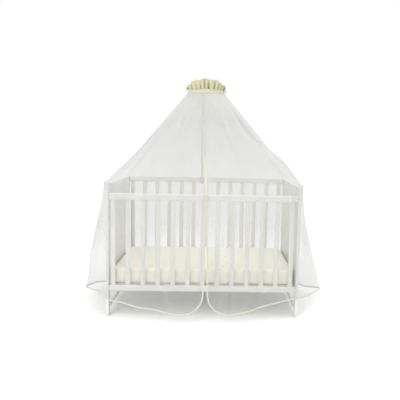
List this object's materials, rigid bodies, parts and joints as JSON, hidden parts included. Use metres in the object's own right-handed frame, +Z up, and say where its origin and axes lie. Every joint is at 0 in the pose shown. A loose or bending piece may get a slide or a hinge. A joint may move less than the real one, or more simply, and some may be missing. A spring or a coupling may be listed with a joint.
{
  "type": "mosquito net canopy over a crib",
  "caption": "Tulle net gathered on a hoop with a cream frill, open down the front and draped over a slatted baby crib.",
  "frame": {"origin": "on the floor, under the middle of the crib and of the net's hem", "axes": "+Z up, +X towards the crib's right end as seen from the front, -Y towards the viewer and the net's open front"},
  "size_m": [1.6916, 0.8963, 1.5922],
  "materials": {
    "white_paint": "satin white paint on wood",
    "grey_metal": "satin",
    "tulle": "fine white tulle, sheer",
    "cream_cotton": "matte woven cotton",
    "cream_tape": "folded cotton tape",
    "mattress_cover": "matte woven cover"
  },
  "bodies": {
    "root": {"bar_front_01": "white_paint", "bar_front_02": "white_paint", "bar_front_03": "white_paint", "bar_front_04": "white_paint", "bar_front_05": "white_paint", "bar_front_06": "white_paint", "bar_front_07": "white_paint", "bar_front_08": "white_paint", "bar_front_09": "white_paint", "bar_front_10": "white_paint", "bar_front_11": "white_paint", "bar_front_12": "white_paint", "bar_front_13": "white_paint", "bar_rear_01": "white_paint", "bar_rear_02": "white_paint", "bar_rear_03": "white_paint", "bar_rear_04": "white_paint", "bar_rear_05": "white_paint", "bar_rear_06": "white_paint", "bar_rear_07": "white_paint", "bar_rear_08": "white_paint", "bar_rear_09": "white_paint", "bar_rear_10": "white_paint", "bar_rear_11": "white_paint", "bar_rear_12": "white_paint", "bar_rear_13": "white_paint", "base_board": "white_paint", "casing_band": "cream_cotton", "clamp": "grey_metal", "edge_binding": "cream_tape", "end_panel_left": "white_paint", "end_panel_right": "white_paint", "end_rail_left": "white_paint", "end_rail_right": "white_paint", "frill": "cream_cotton", "hoop": "grey_metal", "low_rail_front": "white_paint", "low_rail_rear": "white_paint", "mattress": "mattress_cover", "net": "tulle", "pole": "grey_metal", "post_front_left": "white_paint", "post_front_right": "white_paint", "post_rear_left": "white_paint", "post_rear_right": "white_paint", "top_rail_front": "white_paint", "top_rail_rear": "white_paint"}
  },
  "joints": []
}
